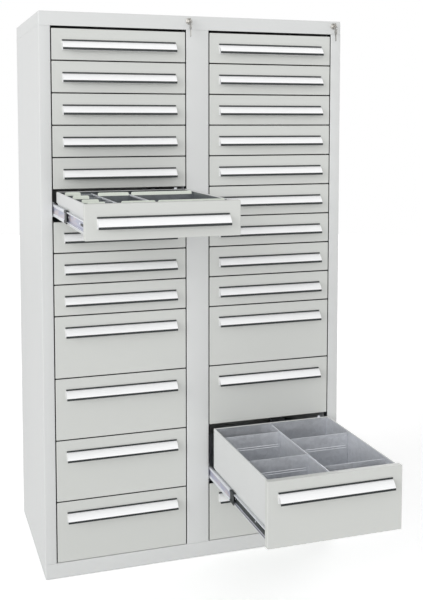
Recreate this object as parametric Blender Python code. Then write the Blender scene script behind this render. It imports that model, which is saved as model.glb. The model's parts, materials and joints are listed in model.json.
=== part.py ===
"""Two-column industrial drawer cabinet, in metres, +Z up.

The origin is on the floor, in the middle of the cabinet's footprint. The front faces -Y and x = 0 is the
middle. Pieces are drawn from the plane of the front frame, which lies half the cabinet's depth in front of
the origin. Each column holds small drawers over large ones. One small drawer on the left and one large
drawer on the right stand fully open, as they are at rest here; all the others are shut.
"""

import math

import bmesh
import bpy

MM = 0.001

# Clearances
FIT_GAP = 0.3 * MM  # between two pieces that touch
SLIDE_PLAY = 0.4 * MM  # between two nested slide members

# Drawers of one column, from the top
SMALL_COUNT = 9
LARGE_COUNT = 4
LARGE_UNITS = 2  # a large drawer's height in units

# Carcass
CABINET_WIDTH = 1020 * MM
CABINET_DEPTH = 560 * MM
CABINET_HEIGHT = 1800 * MM
BASE_HEIGHT = 50 * MM
TOP_REVEAL = 6 * MM  # dark gap over the top drawers
COVER_HEIGHT = 44 * MM
SHEET = 1.5 * MM
SIDE_STILE = 36 * MM
CENTRE_STILE = 76 * MM
STILE_DEPTH = 30 * MM
REAR_RETURN = 20 * MM
FLOOR_FLANGE = 25 * MM

# Slides and their racks
SLIDE_SPACE = 13 * MM  # from a tray wall to the edge of the opening
RAIL_HEIGHT = 45 * MM
RAIL_RISE = 35 * MM  # middle of a slide over the lower edge of its front
RAIL_SHEET = 1.5 * MM
RACE = 3 * MM  # thickness of a member's upper and lower lip
RAIL_LIP = 9.2 * MM  # depth of a cabinet member from its back
MID_LIP = 8.6 * MM  # depth of an intermediate member from its back
RAIL_SETBACK = 3.7 * MM  # behind a drawer front
RAIL_REAR_ROOM = 8 * MM
SLIDE_OVERLAP = 5 * MM  # what stays engaged at full extension
UPRIGHT_WIDTH = 30 * MM
UPRIGHT_SHEET = 2 * MM
UPRIGHT_SETBACK = 4 * MM  # behind the stiles
UPRIGHT_REAR_ROOM = 26 * MM

# Drawers
FRONT_GAP = 3 * MM  # round every front
FRONT_DEPTH = 20 * MM
FRONT_CHAMFER = 1.2 * MM
FRONT_RETURN = 10 * MM  # inward edge behind an open drawer's front
TRAY_SHEET = 1.5 * MM
TRAY_FLOOR_RISE = 8 * MM
TRAY_RIM_DROP = 3 * MM  # rim below the top of the front
TRAY_REAR_ROOM = 61.7 * MM
RIM_REACH = 3.6 * MM  # rim beyond the tray wall
SKIRT_CLEARANCE = 2.5 * MM  # skirt over the slide
REAR_RIM = 8 * MM
HANDLE_DROP = 38 * MM  # from the top of the front to the handle
HANDLE_HEIGHT = 28 * MM
HANDLE_REACH = 22 * MM
HANDLE_MARGIN = 33 * MM
HANDLE_SHEET = 2.2 * MM
HANDLE_ARC_STEPS = 5

# Dividers, with their places as shares of a tray's width from the left and of its depth from the front.
# Rows of cross plates are given for each zone that the partitions leave, from the left.
DIVIDER_SHEET = 1.2 * MM
DIVIDER_DROP = 6 * MM  # below the rim
LEFT_OPEN_DRAWER = 6  # counted from the top
RIGHT_OPEN_DRAWER = 12
SMALL_PARTITION_SHARES = (0.25, 0.505)
SMALL_ROW_SHARES = ((0.13, 0.31, 0.61, 0.90), (0.14, 0.81), (0.14, 0.81))
LARGE_PARTITION_SHARES = (0.49,)
LARGE_ROW_SHARES = ((0.36, 0.83), (0.13, 0.66))

# Locks, keys and locking bars
LOCK_DROP = 17 * MM  # lock axis below the top of the cabinet
LOCK_SETOVER = 9 * MM  # lock axis outside the edge of the opening
ROUND_STEPS = 16
FLANGE_RADIUS = 10.5 * MM
FLANGE_THICKNESS = 2.2 * MM
HOUSING_RADIUS = 9 * MM
HOUSING_LENGTH = 20 * MM  # behind the front of the cabinet
PLUG_RADIUS = 6 * MM
PLUG_PROUD = 0.6 * MM  # plug in front of its flange
CAM_RADIUS = 8.6 * MM
CAM_SHEET = 2 * MM
CAM_THROW = 6 * MM  # pin off the lock axis, which is the bar's lift
CAM_PIN_RADIUS = 1.5 * MM
CAM_PIN_LAG = 1.3 * MM  # most that the pin's height strays from an even lift
CAM_GAP = 1.2 * MM  # housing to cam, and cam to bar
KEY_SHEET = 2.2 * MM
KEY_BOW_RADIUS = 9 * MM
KEY_HOLE_RADIUS = 2.5 * MM
KEY_HOLE_OFFSET = 4 * MM
KEY_NECK = 3.5 * MM  # plug face to bow
KEY_BLADE_WIDTH = 7 * MM
KEY_BLADE_LENGTH = 26 * MM
HOLE_STEPS = 12
RING_RADIUS = 6.5 * MM
WIRE_RADIUS = 0.8 * MM
RING_STEPS = 20
WIRE_STEPS = 6
SHARP_ANGLE = math.radians(35)  # an edge that turns by more is shaded sharp
BAR_WIDTH = 20 * MM
BAR_SHEET = 2 * MM
BAR_FLOOR_ROOM = 12 * MM
BAR_HEAD = 3 * MM  # bar over its slot
HOOK_LENGTH = 3.4 * MM
HOOK_HEIGHT = 10 * MM
HOOK_WIDTH = 8 * MM
CUT_OVERRUN = 5 * MM

# Places worked out from the sizes
OPENING_WIDTH = (CABINET_WIDTH - CENTRE_STILE - 2 * SIDE_STILE) / 2
OPENING_HALF = OPENING_WIDTH / 2
COLUMN_X = {"left": -(CENTRE_STILE + OPENING_WIDTH) / 2, "right": (CENTRE_STILE + OPENING_WIDTH) / 2}
FRONT_PLANE = -CABINET_DEPTH / 2
COVER_BOTTOM = CABINET_HEIGHT - COVER_HEIGHT
OPENING_TOP = COVER_BOTTOM - TOP_REVEAL
UNITS = SMALL_COUNT + LARGE_COUNT * LARGE_UNITS
UNIT_PITCH = (OPENING_TOP - BASE_HEIGHT) / UNITS  # one small drawer and its gap
BACK_FACE = CABINET_DEPTH - 2 * SHEET - FIT_GAP
RAIL_FRONT = FRONT_DEPTH + RAIL_SETBACK
RAIL_REAR = BACK_FACE - RAIL_REAR_ROOM
TRAVEL = RAIL_REAR - RAIL_FRONT - SLIDE_OVERLAP
RAIL_BACK = OPENING_HALF - FIT_GAP
MID_BACK = RAIL_BACK - RAIL_SHEET - SLIDE_PLAY
RUNNER_BACK = MID_BACK - RAIL_SHEET - SLIDE_PLAY
MID_HEIGHT = RAIL_HEIGHT - 2 * (RACE + SLIDE_PLAY)
RUNNER_HEIGHT = MID_HEIGHT - 2 * (RACE + SLIDE_PLAY)
TRAY_HALF = OPENING_HALF - SLIDE_SPACE
TRAY_REAR = BACK_FACE - TRAY_REAR_ROOM
FRONT_HALF = OPENING_HALF - FRONT_GAP
LOCK_Z = CABINET_HEIGHT - LOCK_DROP
LOCK_X = {side: COLUMN_X[side] + OPENING_HALF + LOCK_SETOVER for side in COLUMN_X}

ENAMEL = ((0.62, 0.63, 0.61), 0.45, 0.0)
FRONT_ENAMEL = ((0.58, 0.59, 0.57), 0.45, 0.0)
ZINC = ((0.55, 0.57, 0.60), 0.38, 0.9)
ALUMINIUM = ((0.86, 0.87, 0.88), 0.3, 0.9)
NICKEL = ((0.75, 0.74, 0.71), 0.25, 1.0)


def clear_scene():
    """Empties the scene of what it starts with."""
    for thing in list(bpy.data.objects):
        bpy.data.objects.remove(thing)


def add_prism(shape, axis, outline, low, high):
    """Adds a flat outline, extruded along an axis from low to high, to a bmesh."""

    def corner(first, second, along):
        return {"X": (along, first, second), "Y": (first, along, second), "Z": (first, second, along)}[axis]

    start = [shape.verts.new(corner(*point, low)) for point in outline]
    end = [shape.verts.new(corner(*point, high)) for point in outline]
    shape.faces.new(start)
    shape.faces.new(end)
    for here in range(len(outline)):
        after = (here + 1) % len(outline)
        shape.faces.new((start[here], start[after], end[after], end[here]))


def add_block(shape, low, high):
    """Adds a box between two corners to a bmesh."""
    outline = [(low[0], low[1]), (high[0], low[1]), (high[0], high[1]), (low[0], high[1])]
    add_prism(shape, "Z", outline, low[2], high[2])


def add_turned(shape, profile, steps, closed):
    """Adds a profile of (y, radius) turned about Y: a ring if closed, else a solid with flat ends."""
    rings = []
    for y, radius in profile:
        turns = [2 * math.pi * step / steps for step in range(steps)]
        rings.append([shape.verts.new((radius * math.cos(t), y, radius * math.sin(t))) for t in turns])
    pairs = list(zip(rings, rings[1:]))
    if closed:
        pairs.append((rings[-1], rings[0]))
    for ring, following in pairs:
        for here in range(steps):
            after = (here + 1) % steps
            shape.faces.new((ring[here], ring[after], following[after], following[here]))
    if not closed:
        shape.faces.new(rings[0])
        shape.faces.new(rings[-1])


def circle(radius, steps, centre=(0, 0)):
    """The corners of a round outline."""
    turns = [2 * math.pi * step / steps for step in range(steps)]
    return [(centre[0] + radius * math.cos(t), centre[1] + radius * math.sin(t)) for t in turns]


def mesh_from(name, shape):
    """Ends a bmesh: its normals face out, and it becomes a mesh."""
    bmesh.ops.recalc_face_normals(shape, faces=shape.faces)
    mesh = bpy.data.meshes.new(name)
    shape.to_mesh(mesh)
    shape.free()
    return mesh


def helper(name, shape):
    """An object that a Boolean uses and that combined() removes."""
    thing = bpy.data.objects.new(name, mesh_from(name, shape))
    thing.hide_render = True
    thing.display_type = "WIRE"
    bpy.context.scene.collection.objects.link(thing)
    return thing


def block(name, low, high):
    """A helper box between two corners."""
    shape = bmesh.new()
    add_block(shape, low, high)
    return helper(name, shape)


def prism(name, axis, outline, low, high):
    """A helper prism."""
    shape = bmesh.new()
    add_prism(shape, axis, outline, low, high)
    return helper(name, shape)


def combined(name, base, added=(), cut=()):
    """The base's mesh with each added helper joined on and each cut helper taken away."""
    for operation, tools in (("UNION", added), ("DIFFERENCE", cut)):
        for tool in tools:
            modifier = base.modifiers.new(tool.name, "BOOLEAN")
            modifier.operation = operation
            modifier.solver = "EXACT"
            modifier.object = tool
    graph = bpy.context.evaluated_depsgraph_get()
    mesh = bpy.data.meshes.new_from_object(base.evaluated_get(graph))
    mesh.transform(base.matrix_world)
    mesh.name = name
    for used in (base, *added, *cut):
        bpy.data.objects.remove(used)
    return mesh


def set_down(thing, origin, parent):
    """Puts an object in the scene. An origin with no parent counts from the plane of the front frame."""
    thing.location = origin
    thing.parent = parent
    if parent is None:
        thing.location.y += FRONT_PLANE
    bpy.context.scene.collection.objects.link(thing)
    return thing


def place(name, mesh, finish, origin=(0, 0, 0), parent=None, smooth=False):
    """Puts a mesh in the scene under a node's name and in its own material."""
    colour, roughness, metallic = finish
    material = bpy.data.materials.new(name + "_finish")
    material.use_nodes = True
    shader = material.node_tree.nodes["Principled BSDF"]
    shader.inputs["Base Color"].default_value = (*colour, 1)
    shader.inputs["Roughness"].default_value = roughness
    shader.inputs["Metallic"].default_value = metallic
    if not mesh.materials:
        mesh.materials.append(material)
    if smooth:
        mesh.shade_smooth()
        mesh.set_sharp_from_angle(angle=SHARP_ANGLE)
    thing = bpy.data.objects.new(name, mesh)
    thing.material_slots[0].link = "OBJECT"
    thing.material_slots[0].material = material
    return set_down(thing, origin, parent)


def axis_empty(name, origin):
    """An empty on a joint's axis, which carries what moves with it."""
    return set_down(bpy.data.objects.new(name, None), origin, None)


def mirrored(outline):
    """An outline of (x, y) reflected in x = 0."""
    return [(-x, y) for x, y in outline]


def make_side_panels():
    """Folded side walls, each with its front stile and rear return in one section."""
    inner = CABINET_WIDTH / 2 - SIDE_STILE
    outer = CABINET_WIDTH / 2
    section = [
        (outer, 0),
        (inner, 0),
        (inner, STILE_DEPTH),
        (inner + SHEET, STILE_DEPTH),
        (inner + SHEET, SHEET),
        (outer - SHEET, SHEET),
        (outer - SHEET, CABINET_DEPTH - SHEET),
        (outer - REAR_RETURN, CABINET_DEPTH - SHEET),
        (outer - REAR_RETURN, CABINET_DEPTH),
        (outer, CABINET_DEPTH),
    ]
    low, high = BASE_HEIGHT + FIT_GAP, COVER_BOTTOM - FIT_GAP
    for side, outline in (("left", mirrored(section)), ("right", section)):
        shape = bmesh.new()
        add_prism(shape, "Z", outline, low, high)
        place(side + "_side_panel", mesh_from(side + "_side_panel", shape), ENAMEL)


def make_centre_partition():
    """The middle stile and the wall behind it that parts the two columns."""
    half, web, rear = CENTRE_STILE / 2, SHEET / 2, BACK_FACE - FIT_GAP
    edge = half - SHEET
    right = [(half, 0), (half, STILE_DEPTH), (edge, STILE_DEPTH), (edge, SHEET), (web, SHEET), (web, rear)]
    shape = bmesh.new()
    outline = right + mirrored(right)[::-1]
    add_prism(shape, "Z", outline, BASE_HEIGHT + FIT_GAP, COVER_BOTTOM - FIT_GAP)
    place("centre_partition", mesh_from("centre_partition", shape), ENAMEL)


def make_back_panel():
    """A flat rear wall that the side panels' rear returns hold."""
    half = CABINET_WIDTH / 2 - SHEET - FIT_GAP
    shape = bmesh.new()
    low = (-half, BACK_FACE, BASE_HEIGHT + FIT_GAP)
    add_block(shape, low, (half, BACK_FACE + SHEET, COVER_BOTTOM - FIT_GAP))
    place("back_panel", mesh_from("back_panel", shape), ENAMEL)


def make_top_cover():
    """A deep lid over the frame, with a hole for each lock in its front skirt."""
    half = CABINET_WIDTH / 2
    lid = block("lid", (-half, 0, COVER_BOTTOM), (half, CABINET_DEPTH, CABINET_HEIGHT))
    low = (SHEET - half, SHEET, COVER_BOTTOM - CUT_OVERRUN)
    cuts = [block("lid_pocket", low, (half - SHEET, CABINET_DEPTH - SHEET, CABINET_HEIGHT - SHEET))]
    for side, lock_x in LOCK_X.items():
        outline = circle(HOUSING_RADIUS + FIT_GAP, ROUND_STEPS, (lock_x, LOCK_Z))
        cuts.append(prism(side + "_lock_hole", "Y", outline, -CUT_OVERRUN, SHEET + CUT_OVERRUN))
    place("top_cover", combined("top_cover", lid, cut=cuts), ENAMEL)


def make_base_frame():
    """The plinth: a deck, a skirt all round, an inward floor flange and a floor strip along the middle."""
    half = CABINET_WIDTH / 2
    body = block("plinth", (-half, 0, 0), (half, CABINET_DEPTH, BASE_HEIGHT))
    low = (SHEET - half, SHEET, SHEET)
    hollow = block("plinth_hollow", low, (half - SHEET, CABINET_DEPTH - SHEET, BASE_HEIGHT - SHEET))
    cuts = [hollow]
    for sign in (-1, 1):
        xs = sorted((sign * CENTRE_STILE / 2, sign * (half - FLOOR_FLANGE)))
        high = (xs[1], CABINET_DEPTH - FLOOR_FLANGE, BASE_HEIGHT - 2 * SHEET)
        cuts.append(block("plinth_mouth", (xs[0], FLOOR_FLANGE, -CUT_OVERRUN), high))
    place("base_frame", combined("base_frame", body, cut=cuts), ENAMEL)


def drawer_levels():
    """(number, lower seam, height in units) of each drawer of a column, from the top."""
    levels, top = [], OPENING_TOP
    for number in range(1, SMALL_COUNT + LARGE_COUNT + 1):
        units = 1 if number <= SMALL_COUNT else LARGE_UNITS
        top -= units * UNIT_PITCH
        levels.append((number, top, units))
    return levels


def slide_z(seam):
    """The height of a slide's middle, from its drawer's lower seam."""
    return seam + FRONT_GAP / 2 + RAIL_RISE


def channel_section(back, lip, sheet, height, race, middle, sign):
    """A channel open towards the drawer: its back at x = back, its lips inwards from there."""
    half = height / 2
    corners = [
        (back, -half),
        (back, half),
        (back - lip, half),
        (back - lip, half - race),
        (back - sheet, half - race),
        (back - sheet, race - half),
        (back - lip, race - half),
        (back - lip, -half),
    ]
    return [(sign * x, middle + z) for x, z in corners]


def make_slide_rack(name, column, sign):
    """Two uprights and a cabinet member for each drawer, on one side of one column."""
    wall = CABINET_WIDTH / 2 - SHEET if (sign > 0) == (column == "right") else -SHEET / 2
    reach = abs(wall - abs(COLUMN_X[column])) if wall > 0 else abs(COLUMN_X[column]) + wall
    inner, outer = RAIL_BACK - RAIL_SHEET / 2, reach - FIT_GAP
    low, high = BASE_HEIGHT + FIT_GAP, COVER_BOTTOM - FIT_GAP
    front = STILE_DEPTH + UPRIGHT_SETBACK
    rear = BACK_FACE - UPRIGHT_REAR_ROOM - UPRIGHT_WIDTH
    uprights = bmesh.new()
    for y in (front, rear):
        near, far = y + UPRIGHT_SHEET, y + UPRIGHT_WIDTH - UPRIGHT_SHEET
        corners = [(outer, y), (inner, y), (inner, y + UPRIGHT_WIDTH), (outer, y + UPRIGHT_WIDTH)]
        corners += [(outer, far), (inner + UPRIGHT_SHEET, far), (inner + UPRIGHT_SHEET, near), (outer, near)]
        add_prism(uprights, "Z", [(sign * x, depth) for x, depth in corners], low, high)
    rails = bmesh.new()
    for _, seam, _ in drawer_levels():
        section = channel_section(RAIL_BACK, RAIL_LIP, RAIL_SHEET, RAIL_HEIGHT, RACE, slide_z(seam), sign)
        add_prism(rails, "Y", section, RAIL_FRONT, RAIL_REAR)
    mesh = combined(name, helper("uprights", uprights), [helper("rails", rails)])
    place(name, mesh, ZINC, (COLUMN_X[column], 0, 0))


def front_shape(height, returned=False):
    """A folded front with a chamfered face, as a panel and what is cut from it. The lower seam is z = 0.

    It is open behind, and a returned one keeps an edge there that is folded inwards and carries the tray.
    """
    low, high = FRONT_GAP / 2, height - FRONT_GAP / 2
    shape = bmesh.new()
    rings = []
    for y, inset in ((0, FRONT_CHAMFER), (FRONT_CHAMFER, 0), (FRONT_DEPTH, 0)):
        x, bottom, top = FRONT_HALF - inset, low + inset, high - inset
        corners = [(-x, bottom), (x, bottom), (x, top), (-x, top)]
        rings.append([shape.verts.new((across, y, z)) for across, z in corners])
    shape.faces.new(rings[0])
    shape.faces.new(rings[-1])
    for ring, following in zip(rings, rings[1:]):
        for here in range(len(ring)):
            after = (here + 1) % len(ring)
            shape.faces.new((ring[here], ring[after], following[after], following[here]))
    panel = helper("front_panel", shape)
    inset = FRONT_HALF - SHEET
    rear = FRONT_DEPTH - SHEET if returned else FRONT_DEPTH + CUT_OVERRUN
    cuts = [block("front_pocket", (-inset, SHEET, low + SHEET), (inset, rear, high - SHEET))]
    if returned:
        inset = FRONT_HALF - FRONT_RETURN
        start = (-inset, FRONT_DEPTH / 2, low + FRONT_RETURN)
        end = (inset, FRONT_DEPTH + CUT_OVERRUN, high - FRONT_RETURN)
        cuts.append(block("front_mouth", start, end))
    return panel, cuts


def handle_outline(height, gap):
    """The handle's section in (y, z): a mounting web and a hood that curves out and down to a lip."""
    top = height - FRONT_GAP / 2 - HANDLE_DROP
    bottom = top - HANDLE_HEIGHT
    reach = HANDLE_REACH - gap
    web = -gap - HANDLE_SHEET
    quarter = [math.pi / 2 * step / HANDLE_ARC_STEPS for step in range(HANDLE_ARC_STEPS + 1)]

    def hood(start, across, up):
        return [(start - across * math.sin(t), bottom + up * math.cos(t)) for t in quarter]

    outer = hood(-gap, reach, HANDLE_HEIGHT)
    inner = hood(web, reach - 2 * HANDLE_SHEET, HANDLE_HEIGHT - HANDLE_SHEET)
    return [(-gap, bottom), *outer, *inner[::-1], (web, bottom)]


def handle_shape(height, gap):
    """The handle's prism, as a helper."""
    half = FRONT_HALF - HANDLE_MARGIN
    return prism("handle", "X", handle_outline(height, gap), -half, half)


def tray_levels(height):
    """Where a tray's floor, skirt and rim are over the lower seam."""
    floor = FRONT_GAP / 2 + TRAY_FLOOR_RISE
    skirt = FRONT_GAP / 2 + RAIL_RISE + RAIL_HEIGHT / 2 + SKIRT_CLEARANCE
    rim = height - FRONT_GAP / 2 - TRAY_RIM_DROP
    return floor, skirt, rim


def tray_shape(height, front):
    """A folded tray: floor, double-edged side walls, front and rear wall. It starts at y = front."""
    floor, skirt, rim = tray_levels(height)
    wall, edge = TRAY_HALF, TRAY_HALF + RIM_REACH
    right = [
        (wall, floor),
        (wall, rim - TRAY_SHEET),
        (edge - TRAY_SHEET, rim - TRAY_SHEET),
        (edge - TRAY_SHEET, skirt),
        (edge, skirt),
        (edge, rim),
        (wall - TRAY_SHEET, rim),
        (wall - TRAY_SHEET, floor + TRAY_SHEET),
    ]
    trough = prism("trough", "Y", right + mirrored(right)[::-1], front, TRAY_REAR)
    low = (-wall, TRAY_REAR - TRAY_SHEET, floor)
    rear = block("rear_wall", low, (wall, TRAY_REAR, rim))
    low = (-wall, TRAY_REAR - REAR_RIM, rim - TRAY_SHEET)
    rear_rim = block("rear_rim", low, (wall, TRAY_REAR, rim))
    end = block("front_wall", (-wall, front, floor), (wall, front + TRAY_SHEET, rim))
    return trough, [rear, rear_rim, end]


def runner_block(name, sign, back, member_height, inner):
    """The member that the drawer carries on one side, as a helper."""
    xs = sorted((sign * inner, sign * back))
    low = (xs[0], RAIL_FRONT, slide_z(0) - member_height / 2)
    return block(name, low, (xs[1], RAIL_REAR, slide_z(0) + member_height / 2))


def shut_drawer_mesh(name, height):
    """A whole drawer in one piece: front, handle, tray and a runner on each side."""
    floor, _, rim = tray_levels(height)
    panel, cuts = front_shape(height)
    folded = bpy.data.objects.new("folded_front", combined("folded_front", panel, cut=cuts))
    bpy.context.scene.collection.objects.link(folded)
    trough, walls = tray_shape(height, FRONT_DEPTH - TRAY_SHEET)
    reach = FRONT_HALF - SHEET / 2
    low = (-reach, FRONT_DEPTH - TRAY_SHEET, floor)
    walls.append(block("backing", low, (reach, FRONT_DEPTH, rim)))
    inside = TRAY_HALF - TRAY_SHEET / 2
    runners = [runner_block("runner", sign, MID_BACK, MID_HEIGHT, inside) for sign in (-1, 1)]
    return combined(name, folded, [trough, *walls, *runners, handle_shape(height, -SHEET / 2)])


def make_shut_drawers():
    """Every drawer but the two that stand open. Drawers of one height share a mesh."""
    open_ones = {"left": LEFT_OPEN_DRAWER, "right": RIGHT_OPEN_DRAWER}
    meshes = {
        1: shut_drawer_mesh("small_drawer", UNIT_PITCH),
        LARGE_UNITS: shut_drawer_mesh("large_drawer", LARGE_UNITS * UNIT_PITCH),
    }
    for side, middle in COLUMN_X.items():
        for number, seam, units in drawer_levels():
            if number != open_ones[side]:
                place(f"{side}_drawer_{number:02d}", meshes[units], FRONT_ENAMEL, (middle, 0, seam))


def divider_mesh(name, height, partitions, zone_rows):
    """Upright plates that part a tray: front-to-back partitions, and rows of cross plates in each zone."""
    floor, _, rim = tray_levels(height)
    low, high = floor + TRAY_SHEET + FIT_GAP, rim - DIVIDER_DROP
    half = TRAY_HALF - TRAY_SHEET - FIT_GAP
    front = FRONT_DEPTH + TRAY_SHEET + 2 * FIT_GAP
    rear = TRAY_REAR - TRAY_SHEET - FIT_GAP
    sheet = DIVIDER_SHEET / 2
    walls = [-half, *(half * (2 * share - 1) for share in partitions), half]
    plates = [block("partition", (x - sheet, front, low), (x + sheet, rear, high)) for x in walls[1:-1]]
    for left, right, rows in zip(walls, walls[1:], zone_rows):
        for share in rows:
            y = front + (rear - front) * share
            plates.append(block("cross", (left, y - sheet, low), (right, y + sheet, high)))
    return combined(name, plates[0], plates[1:])


def make_open_drawer(side, number, dividers):
    """A drawer at full extension, in separate pieces, with its intermediate slide members at half travel."""
    _, seam, units = drawer_levels()[number - 1]
    height = units * UNIT_PITCH
    name = f"{side}_drawer_{number:02d}"
    drawer = axis_empty(name + "_slide", (COLUMN_X[side], -TRAVEL, seam))
    middle = axis_empty(name + "_mid_slide", (COLUMN_X[side], -TRAVEL / 2, seam))
    panel, cuts = front_shape(height, returned=True)
    place(name + "_front", combined("front", panel, cut=cuts), FRONT_ENAMEL, parent=drawer)
    trough, walls = tray_shape(height, FRONT_DEPTH + FIT_GAP)
    place(name + "_tray", combined("tray", trough, walls), ENAMEL, parent=drawer)
    place(name + "_handle", combined("handle", handle_shape(height, FIT_GAP)), ALUMINIUM, parent=drawer)
    place(name + "_dividers", divider_mesh("dividers", height, *dividers), ZINC, parent=drawer)
    for hand, sign in (("left", -1), ("right", 1)):
        runner = runner_block("runner", sign, RUNNER_BACK, RUNNER_HEIGHT, TRAY_HALF + FIT_GAP)
        place(f"{name}_{hand}_runner", combined("runner", runner), ZINC, parent=drawer)
        section = channel_section(MID_BACK, MID_LIP, RAIL_SHEET, MID_HEIGHT, RACE, slide_z(0), sign)
        member = prism("member", "Y", section, RAIL_FRONT, RAIL_REAR)
        place(f"{name}_{hand}_mid_member", combined("member", member), ZINC, parent=middle)


def make_lock_housing(side, origin):
    """The fixed barrel of a lock, flanged in front of the cover and bored for its plug."""
    bore = PLUG_RADIUS + FIT_GAP
    profile = [
        (-FIT_GAP - FLANGE_THICKNESS, bore),
        (-FIT_GAP - FLANGE_THICKNESS, FLANGE_RADIUS),
        (-FIT_GAP, FLANGE_RADIUS),
        (-FIT_GAP, HOUSING_RADIUS),
        (HOUSING_LENGTH, HOUSING_RADIUS),
        (HOUSING_LENGTH, bore),
    ]
    shape = bmesh.new()
    add_turned(shape, profile, ROUND_STEPS, True)
    name = side + "_lock_housing"
    place(name, mesh_from(name, shape), NICKEL, origin, smooth=True)


def key_helpers(blade_start, turned):
    """A key's bow, blade and hole, round the bow's middle. The blade points to +Y, or down if turned."""

    def along(first, second):
        return (second, -first) if turned else (first, second)

    half, side = KEY_BLADE_WIDTH / 2, KEY_SHEET / 2
    end = blade_start + KEY_BLADE_LENGTH
    bow = prism("bow", "X", circle(KEY_BOW_RADIUS, ROUND_STEPS), -side, side)
    corners = [along(blade_start, -half), along(end, -half), along(end, half), along(blade_start, half)]
    blade = prism("blade", "X", corners, -side, side)
    outline = circle(KEY_HOLE_RADIUS, HOLE_STEPS, along(-KEY_HOLE_OFFSET, 0))
    hole = prism("key_hole", "X", outline, -side - CUT_OVERRUN, side + CUT_OVERRUN)
    return bow, blade, hole


def make_lock_plug(side, origin):
    """The turning plug with its cam and pin behind and a key in front. Returns the key hole's middle."""
    face = -FIT_GAP - FLANGE_THICKNESS - PLUG_PROUD
    cam = HOUSING_LENGTH + CAM_GAP
    shape = bmesh.new()
    profile = [(face, PLUG_RADIUS), (cam, PLUG_RADIUS), (cam, CAM_RADIUS), (cam + CAM_SHEET, CAM_RADIUS)]
    add_turned(shape, profile, ROUND_STEPS, False)
    plug = helper("plug", shape)
    pin_end = cam + CAM_SHEET + 2 * CAM_GAP + BAR_SHEET
    outline = circle(CAM_PIN_RADIUS, HOLE_STEPS, (0, -CAM_THROW))
    pin = prism("cam_pin", "Y", outline, cam + CAM_SHEET / 2, pin_end)
    bow_y = face - KEY_NECK - KEY_BOW_RADIUS
    bow, blade, hole = key_helpers(KEY_BOW_RADIUS - KEY_NECK, False)
    for tool in (bow, blade, hole):
        tool.location.y = bow_y
    bpy.context.view_layer.update()
    name = side + "_lock_plug_and_key"
    place(name, combined(name, plug, [pin, bow, blade], [hole]), NICKEL, origin, smooth=True)
    return (origin[0], bow_y - KEY_HOLE_OFFSET, origin[2])


def make_keys(side, hole_middle):
    """A wire ring that hangs in the key's hole, and a spare key that hangs on the ring."""
    slack = KEY_HOLE_RADIUS - WIRE_RADIUS - FIT_GAP
    hinge = (hole_middle[0], hole_middle[1], hole_middle[2] - slack)
    shape = bmesh.new()
    turns = [2 * math.pi * step / WIRE_STEPS for step in range(WIRE_STEPS)]
    wire = [(WIRE_RADIUS * math.sin(t), RING_RADIUS + WIRE_RADIUS * math.cos(t)) for t in turns]
    add_turned(shape, wire, RING_STEPS, True)
    bmesh.ops.translate(shape, verts=shape.verts, vec=(0, 0, -RING_RADIUS))
    name = side + "_key_ring"
    place(name, mesh_from(name, shape), NICKEL, hinge, smooth=True)
    low_wire = (hinge[0], hinge[1], hinge[2] - 2 * RING_RADIUS)
    bow, blade, hole = key_helpers(KEY_BOW_RADIUS - KEY_NECK, True)
    for tool in (bow, blade, hole):
        tool.location.z = -slack - KEY_HOLE_OFFSET
    bpy.context.view_layer.update()
    name = side + "_spare_key"
    place(name, combined(name, bow, [blade], [hole]), NICKEL, low_wire, smooth=True)


def make_locking_bar(side, lock_x):
    """A flat bar in the stile that the cam pin lifts, with a hook for each drawer."""
    edge = COLUMN_X[side] + OPENING_HALF + SHEET + FIT_GAP
    front = HOUSING_LENGTH + 2 * CAM_GAP + CAM_SHEET
    rear = front + BAR_SHEET
    slot_low = LOCK_Z - CAM_THROW - CAM_PIN_RADIUS - CAM_PIN_LAG - FIT_GAP
    slot_high = LOCK_Z - CAM_THROW + CAM_PIN_RADIUS + FIT_GAP
    reach = CAM_PIN_RADIUS + FIT_GAP
    low = (edge, front, BASE_HEIGHT + BAR_FLOOR_ROOM)
    bar = block("bar", low, (edge + BAR_WIDTH, rear, slot_high + BAR_HEAD))
    low = (lock_x - reach, front - CUT_OVERRUN, slot_low)
    slot = block("slot", low, (lock_x + CAM_THROW + reach, rear + CUT_OVERRUN, slot_high))
    hooks = bmesh.new()
    for _, seam, _ in drawer_levels():
        z = slide_z(seam)
        low = (edge, rear - BAR_SHEET / 2, z - HOOK_HEIGHT / 2)
        add_block(hooks, low, (edge + HOOK_WIDTH, rear + HOOK_LENGTH, z + HOOK_HEIGHT / 2))
    name = side + "_locking_bar"
    place(name, combined(name, bar, [helper("hooks", hooks)], [slot]), ZINC)


def make_locks():
    """A lock, its hanging keys and its locking bar at the right of each column."""
    for side, lock_x in LOCK_X.items():
        origin = (lock_x, 0, LOCK_Z)
        make_lock_housing(side, origin)
        make_keys(side, make_lock_plug(side, origin))
        make_locking_bar(side, lock_x)


def main():
    clear_scene()
    make_side_panels()
    make_centre_partition()
    make_back_panel()
    make_top_cover()
    make_base_frame()
    for column in COLUMN_X:
        for hand, sign in (("left", -1), ("right", 1)):
            make_slide_rack(f"{column}_column_{hand}_rack", column, sign)
    make_shut_drawers()
    make_open_drawer("left", LEFT_OPEN_DRAWER, (SMALL_PARTITION_SHARES, SMALL_ROW_SHARES))
    make_open_drawer("right", RIGHT_OPEN_DRAWER, (LARGE_PARTITION_SHARES, LARGE_ROW_SHARES))
    make_locks()


main()
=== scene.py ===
"""Looks of a two-column industrial drawer cabinet, laid out as a Blender add-on and run as a script.

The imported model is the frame. Every piece takes its place from the boxes of the CAD nodes, in metres, and
rides on their bodies. Shapes are grids of points worked out with numpy: a section carried along an axis, or
rings that close in on each other. Finishes are node materials on Object coordinates.
"""

import json
import math

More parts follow.
